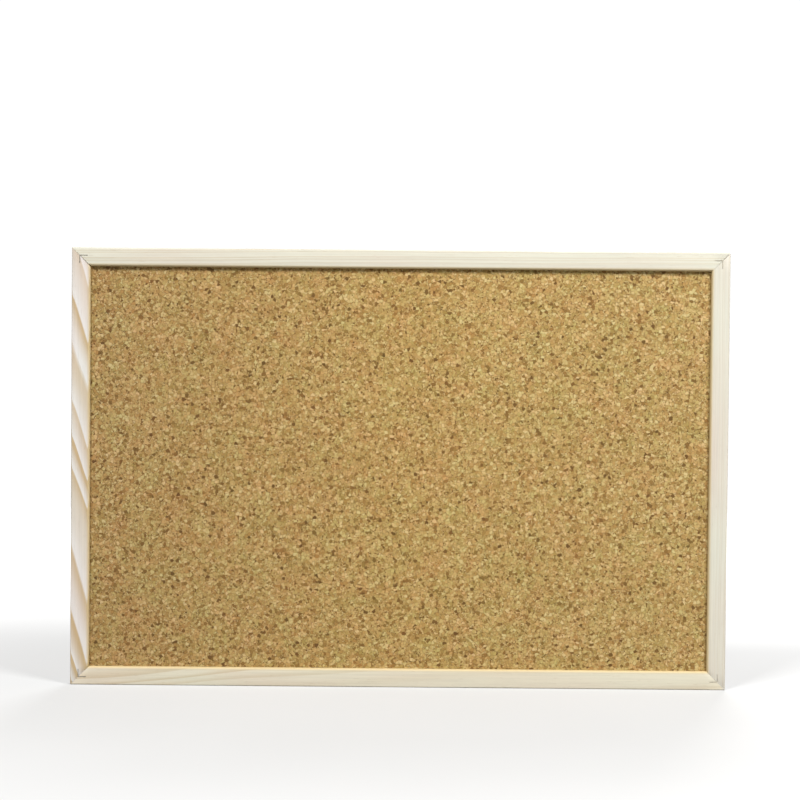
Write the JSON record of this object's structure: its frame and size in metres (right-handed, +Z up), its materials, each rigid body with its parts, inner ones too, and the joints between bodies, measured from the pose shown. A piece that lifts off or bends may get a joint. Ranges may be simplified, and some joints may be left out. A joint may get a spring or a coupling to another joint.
{
  "type": "cork bulletin board",
  "caption": "Landscape pinboard: a cork sheet on a softboard core, held in a mitred wood frame with D-ring hangers on its back.",
  "frame": {"origin": "on the plane of the frame's rear face, at the middle of the top rail's width and length", "axes": "+X to the right as seen from the front, +Y out of the frame's back towards the wall, +Z up"},
  "size_m": [0.6, 0.0201, 0.4],
  "materials": {
    "pine": "planed and sanded pine with no varnish",
    "cork": "agglomerated cork granules, sanded, matt",
    "softboard": "pressed wood-fibre board with sawn edges",
    "kraft": "heavy brown kraft lining board, matt",
    "zinc_plate": "bright zinc-plated steel",
    "bare_steel": "dull oiled steel strip"
  },
  "bodies": {
    "board": {"top_rail": "pine", "bottom_rail": "pine", "left_stile": "pine", "right_stile": "pine", "cork_sheet": "cork", "softboard_core": "softboard", "backing_sheet": "kraft", "vnail_top_left_front": "bare_steel", "vnail_top_left_rear": "bare_steel", "vnail_top_right_front": "bare_steel", "vnail_top_right_rear": "bare_steel", "vnail_bottom_left_front": "bare_steel", "vnail_bottom_left_rear": "bare_steel", "vnail_bottom_right_front": "bare_steel", "vnail_bottom_right_rear": "bare_steel", "left_hanger_strap": "zinc_plate", "left_hanger_screw": "zinc_plate", "right_hanger_strap": "zinc_plate", "right_hanger_screw": "zinc_plate"},
    "left_ring": {"left_ring": "zinc_plate"},
    "right_ring": {"right_ring": "zinc_plate"}
  },
  "joints": [
    {"name": "left_ring_swing", "type": "hinge", "parent": "board", "child": "left_ring", "pos_m": [-0.2915, 0.00195, -0.055], "axis": [1, 0, 0], "range_deg": [0, 178]},
    {"name": "right_ring_swing", "type": "hinge", "parent": "board", "child": "right_ring", "pos_m": [0.2915, 0.00195, -0.055], "axis": [1, 0, 0], "range_deg": [0, 178]}
  ]
}
